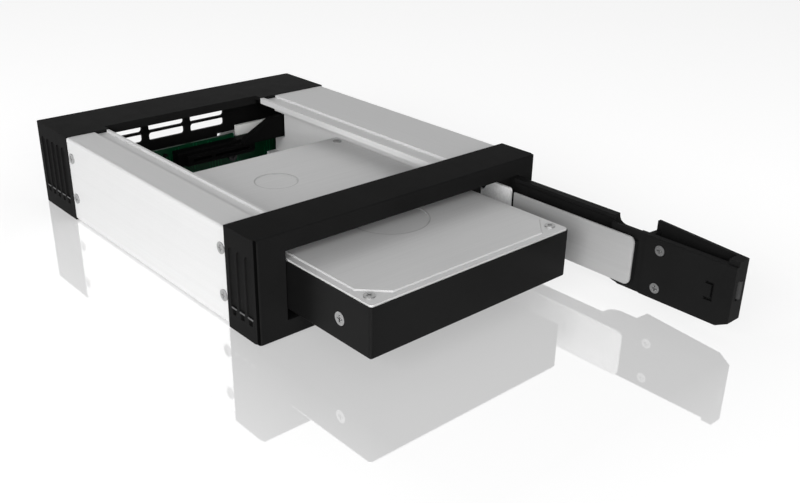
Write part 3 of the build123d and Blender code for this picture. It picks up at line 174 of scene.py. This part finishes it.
class Finish:
    """A material under construction: its tree, its shader and the place that patterns read."""

    def __init__(self, name, roughness=0.5, metallic=0.0, specular=0.5, coat=0.0, coat_roughness=0.1):
        self.material = bpy.data.materials.new(name)
        self.material.use_nodes = True
        self.tree = self.material.node_tree
        self.tree.nodes.clear()
        self.shader = self.tree.nodes.new("ShaderNodeBsdfPrincipled")
        self.out = self.tree.nodes.new("ShaderNodeOutputMaterial")
        self.tree.links.new(self.shader.outputs[0], self.out.inputs["Surface"])
        self.shader.inputs["Roughness"].default_value = roughness
        self.shader.inputs["Metallic"].default_value = metallic
        self.shader.inputs["Specular IOR Level"].default_value = specular
        self.shader.inputs["Coat Weight"].default_value = coat
        self.shader.inputs["Coat Roughness"].default_value = coat_roughness
        self.place = self.node("ShaderNodeTexCoord", output="Object")

    def node(self, kind, settings=None, output=0, **sockets):
        """Adds a node: its settings, then values or links by socket name, or by number as i0, i1, i2."""
        made = self.tree.nodes.new(kind)
        for key, value in (settings or {}).items():
            setattr(made, key, value)
        for key, value in sockets.items():
            numbered = key[0] == "i" and key[1:].isdigit()
            socket = made.inputs[int(key[1:]) if numbered else key.replace("_", " ")]
            if isinstance(value, Socket):
                self.tree.links.new(value.output, socket)
            else:
                socket.default_value = value
        return Socket(self.tree, made.outputs[output])

    def stretch(self, x, y, z):
        """The place, scaled along each axis."""
        return self.node("ShaderNodeMapping", Vector=self.place, Scale=(x, y, z))

    def noise(self, scale, detail=3.0, roughness=0.5, place=None):
        return self.node("ShaderNodeTexNoise", output="Fac", Vector=place or self.place,
                         Scale=scale, Detail=detail, Roughness=roughness)

    def axis(self, name):
        """The X, Y or Z of the place, in metres."""
        return self.node("ShaderNodeSeparateXYZ", output=name, Vector=self.place)

    def blend(self, amount, low, high):
        """Mix of two colours."""
        def colour(value):
            return value if isinstance(value, Socket) else (*value, 1.0)
        return self.node("ShaderNodeMix", {"data_type": "RGBA", "clamp_factor": True}, 2,
                         i0=amount, i6=colour(low), i7=colour(high))

    def feed(self, name, value):
        """Puts a value or a link on one of the shader's sockets."""
        socket = self.shader.inputs[name]
        if isinstance(value, Socket):
            self.tree.links.new(value.output, socket)
        else:
            socket.default_value = value

    def relief(self, height, depth, distance=FINE_BUMP):
        """Raises the surface by a height pattern."""
        self.feed("Normal", self.node("ShaderNodeBump", Height=height, Strength=depth, Distance=distance))


def grey(level):
    """Linear colour from a display level of 0 to 1."""
    return (level ** DISPLAY_GAMMA,) * 3


# Finishes
def sill_highlight_mask(f):
    """Mask of the sills between the grip grooves and the square feet under them, where a highlight is
    painted.
    """
    y = f.axis("Y")
    z = f.axis("Z")
    outside = abs(f.axis("X")) > SILL_INSIDE
    height = (z > SILL_LOW) * (z < SILL_HIGH)
    mask = None
    for first, count in ((BEZEL_GROOVE_Y, BEZEL_GROOVES), (CAP_GROOVE_Y, CAP_GROOVES)):
        along = y - (first - GROOVE_PITCH / 2)
        near = abs(along % GROOVE_PITCH - GROOVE_PITCH / 2) < SILL_HALF
        row = near * (along > 0.0) * (along < count * GROOVE_PITCH)
        mask = row if mask is None else mask + row
    return mask * outside * height


def mould_texture(f, level, roughness, grain=MOULD_GRAIN):
    """Gives a moulding its fine even texture, and returns its colour with slight flow marks."""
    f.feed("Roughness", roughness - 0.06 + 0.12 * f.noise(160.0))
    f.relief(f.noise(grain, 2.0, 0.6), 0.12)
    return f.blend(f.noise(38.0, 2.0), grey(level * (1 - FLOW_MARKS)), grey(level * (1 + FLOW_MARKS)))


def cage_black():
    """The cage's black plastic, with a painted highlight on the sills and a dark shadow line beside the
    front plate.
    """
    f = Finish("cage_plastic", specular=0.005)
    plain = mould_texture(f, 0.13, 0.42)
    beside_plate = (f.axis("Y") < PLATE_BACK_Y) * (abs(f.axis("X")) > PLATE_SIDE_X)
    shaded = f.blend(beside_plate, plain, grey(SHADOW_LINE_LEVEL))
    # Painted highlight: the sills under the grooves are made paler, as if they catch the light
    f.feed("Base Color", f.blend(sill_highlight_mask(f), shaded, grey(SILL_HIGHLIGHT_LEVEL)))
    return f.material


def moulded_black(name, level, grain=MOULD_GRAIN, roughness=0.42):
    """Black moulded plastic."""
    f = Finish(name, specular=0.01)
    f.feed("Base Color", mould_texture(f, level, roughness, grain))
    return f.material


def rail_metal():
    """Bright extruded aluminium, lightly blasted, with faint drawing lines along its length."""
    f = Finish("rail_aluminium", metallic=0.1, specular=0.3)
    lines = f.noise(700.0, 2.0, 0.6, f.stretch(1.0, 0.012, 1.0))
    speckle = f.noise(2400.0, 2.0, 0.7)
    clouds = f.noise(24.0)
    tone = 0.5 * speckle + 0.3 * lines + 0.2 * clouds
    f.feed("Base Color", f.blend(tone, grey(0.80), grey(0.88)))
    f.feed("Roughness", 0.36 + 0.14 * speckle)
    f.relief(0.6 * speckle + 0.4 * lines, 0.10, RAIL_BUMP)
    return f.material


def ring(f, place, radius):
    """Mask of a thin circle seen from above."""
    x = f.axis("X") - place[0]
    y = f.axis("Y") - place[1]
    away = abs((x * x + y * y) ** 0.5 - radius)
    return (1.0 - away / CREASE_SHADE_WIDTH).clamp()


def sheet_cover():
    """The drive's stamped lid: satin sheet with a soft brushed look and painted shade along the pressed
    edge round each sunk disc.
    """
    f = Finish("drive_cover", metallic=0.3, specular=0.3)
    lines = f.noise(900.0, 2.0, 0.6, f.stretch(0.02, 1.0, 1.0))
    clouds = f.noise(18.0)
    plain = f.blend(0.55 * lines + 0.45 * clouds, grey(0.77), grey(0.84))
    # Painted shade: a dark ring along the pressed edge of each sunk disc
    crease_shade = ring(f, HUB_PLACE, HUB_RADIUS).top(ring(f, PIVOT_PLACE, PIVOT_RADIUS))
    f.feed("Base Color", f.blend(CREASE_SHADE_STRENGTH * crease_shade, plain, grey(CREASE_SHADE_LEVEL)))
    f.feed("Roughness", 0.27 + 0.12 * f.noise(500.0))
    f.relief(lines, 0.05)
    return f.material


def coated_casting():
    """The drive's dark coated casting, smooth and slightly glossy."""
    f = Finish("drive_casting", specular=0.05, coat=0.02, coat_roughness=0.2)
    f.feed("Base Color", f.blend(f.noise(30.0), grey(0.075), grey(0.105)))
    f.feed("Roughness", 0.26 + 0.12 * f.noise(420.0))
    f.relief(f.noise(1500.0, 2.0), 0.05)
    return f.material


def spring_steel():
    """Plain satin spring steel with a faint rolling grain."""
    f = Finish("leaf_steel", metallic=0.2)
    lines = f.noise(800.0, 2.0, 0.6, f.stretch(1.0, 0.02, 1.0))
    f.feed("Base Color", f.blend(lines, grey(0.64), grey(0.69)))
    f.feed("Roughness", 0.32 + 0.12 * f.noise(300.0))
    f.relief(lines, 0.04)
    return f.material


def plated(name, level, roughness=0.28, metallic=1.0):
    """Plated steel with a light turned grain."""
    f = Finish(name, metallic=metallic)
    f.feed("Base Color", f.blend(f.noise(900.0), grey(level * 0.9), grey(level * 1.06)))
    f.feed("Roughness", roughness - 0.05 + 0.14 * f.noise(1400.0, 2.0))
    return f.material


def circuit_board():
    """Dark green solder mask with fine tracks under it."""
    f = Finish("board_green", specular=0.1, coat=0.05, coat_roughness=0.15)
    across = f.node("ShaderNodeTexWave", {"wave_type": "BANDS", "bands_direction": "X"}, "Fac",
                    Vector=f.place, Scale=180.0, Distortion=1.5, Detail=1.0)
    tracks = (across > 0.8) * (f.noise(120.0, 1.0) > 0.5)
    f.feed("Base Color", f.blend(tracks, MASK_GREEN, TRACK_GREEN))
    f.feed("Roughness", 0.32 + 0.1 * f.noise(700.0))
    f.relief(tracks, 0.1)
    return f.material


def pale_nylon():
    """Off-white moulded nylon."""
    f = Finish("connector_white")
    f.feed("Base Color", f.blend(f.noise(200.0), (0.90, 0.90, 0.88), (0.96, 0.96, 0.94)))
    f.feed("Roughness", 0.42 + 0.1 * f.noise(800.0))
    f.relief(f.noise(1800.0), 0.06)
    return f.material


def dress():
    """Gives each CAD node the finish of its material slot."""
    finishes = {
        "rail_aluminium": rail_metal(),
        "cage_plastic": cage_black(),
        "door_plastic": moulded_black("door_plastic", 0.125, roughness=0.36),
        "steel_screw": plated("steel_screw", 0.66),
        "dark_screw": plated("dark_screw", 0.56),
        "black_screw": plated("black_screw", 0.14, 0.4, 0.3),
        "pin_steel": plated("pin_steel", 0.7, 0.22),
        "leaf_steel": spring_steel(),
        "bar_steel": plated("bar_steel", 0.90, 0.45, 0.1),
        "arm_plastic": moulded_black("arm_plastic", 0.09),
        "bolt_plastic": moulded_black("bolt_plastic", 0.25, roughness=0.34),
        "board_green": circuit_board(),
        "connector_black": moulded_black("connector_black", 0.085, grain=1800.0),
        "connector_white": pale_nylon(),
        "chip_black": moulded_black("chip_black", 0.13, grain=3000.0),
        "drive_casting": coated_casting(),
        "drive_cover": sheet_cover(),
    }
    for entry in frame["record"]["subparts"]:
        owner = nodes[entry["node"]]
        owner.data.materials.clear()
        owner.data.materials.append(finishes[entry["material_slot"]])


# Floor, light and camera
def floor_finish():
    """Plain white that takes the object's shadow, with a mirror image that fades away from its foot."""
    f = Finish("floor", roughness=1.0, specular=0.0)
    f.feed("Base Color", (FLOOR_TONE, FLOOR_TONE, FLOOR_TONE, 1.0))
    y = f.axis("Y")
    beside = (abs(f.axis("X")) - FOOT_HALF_WIDTH).top(0.0)
    along = (-1.0 * y - FOOT_FRONT).top(y - FOOT_BACK).top(0.0)
    distance = (beside * beside + along * along) ** 0.5
    fade = (1.0 - distance / MIRROR_FADE).clamp()
    strength = seen_directly(f.tree) * (FLOOR_GLOW + MIRROR_GLOW * fade)
    glow = f.node("ShaderNodeEmission", Color=WHITE, Strength=strength)
    mirror = f.node("ShaderNodeBsdfGlossy", Color=WHITE, Roughness=MIRROR_ROUGHNESS)
    matt = f.node("ShaderNodeAddShader", i0=Socket(f.tree, f.shader.outputs[0]), i1=glow)
    both = f.node("ShaderNodeMixShader", i0=fade * MIRROR_SHARE, i1=matt, i2=mirror)
    f.tree.links.new(both.output, f.out.inputs["Surface"])
    return f.material


def floor():
    """Wide floor just under the object."""
    bm = bmesh.new()
    bmesh.ops.create_grid(bm, x_segments=1, y_segments=1, size=FLOOR_HALF)
    mesh = bpy.data.meshes.new("floor")
    bm.to_mesh(mesh)
    bm.free()
    mesh.transform(Matrix.Translation((0.0, 0.0, -FLOOR_DROP)))
    mesh.materials.append(floor_finish())
    obj = bpy.data.objects.new("floor", mesh)
    scene.collection.objects.link(obj)


def studio_world():
    """Plain soft light all round. What the camera and glossy surfaces see is white and greys overhead."""
    world = bpy.data.worlds.new("studio")
    scene.world = world
    world.use_nodes = True
    tree = world.node_tree
    tree.nodes.clear()
    seen = seen_directly(tree)
    direction = tree.nodes.new("ShaderNodeTexCoord")
    parts = tree.nodes.new("ShaderNodeSeparateXYZ")
    tree.links.new(direction.outputs["Generated"], parts.inputs[0])
    height = (Socket(tree, parts.outputs["Z"]) - CEILING_START) / CEILING_SPAN
    shown = 1.0 - (1.0 - CEILING_GREY) * height.clamp()
    strength = seen * shown + (1.0 - seen) * WORLD_LIGHT
    background = tree.nodes.new("ShaderNodeBackground")
    background.inputs["Color"].default_value = WHITE
    out = tree.nodes.new("ShaderNodeOutputWorld")
    tree.links.new(strength.output, background.inputs["Strength"])
    tree.links.new(background.outputs[0], out.inputs["Surface"])


def looking(place, target):
    """Rotation that aims a lamp or a camera from a place at a target."""
    return (Vector(target) - Vector(place)).to_track_quat("-Z", "Y")


def lamp(name, place, target, size, power):
    """A soft square lamp aimed at a point."""
    data = bpy.data.lights.new(name, "AREA")
    data.size = size
    data.energy = power
    obj = bpy.data.objects.new(name, data)
    obj.location = place
    obj.rotation_euler = looking(place, target).to_euler()
    scene.collection.objects.link(obj)


def photo_camera():
    """The camera that took the photo, as fitted to it."""
    data = bpy.data.cameras.new("camera")
    data.sensor_width = CAMERA_SENSOR
    data.lens = CAMERA_LENS
    data.clip_start = CAMERA_NEAR
    camera = bpy.data.objects.new("camera", data)
    scene.collection.objects.link(camera)
    roll = Matrix.Rotation(math.radians(CAMERA_ROLL), 3, "Z")
    turn = looking(CAMERA_PLACE, CAMERA_TARGET).to_matrix() @ roll
    camera.matrix_world = Matrix.Translation(CAMERA_PLACE) @ turn.to_4x4()
    scene.camera = camera


dress()
floor()
studio_world()
for row in LAMPS:
    lamp(*row)
photo_camera()
scene.view_settings.view_transform = "Standard"
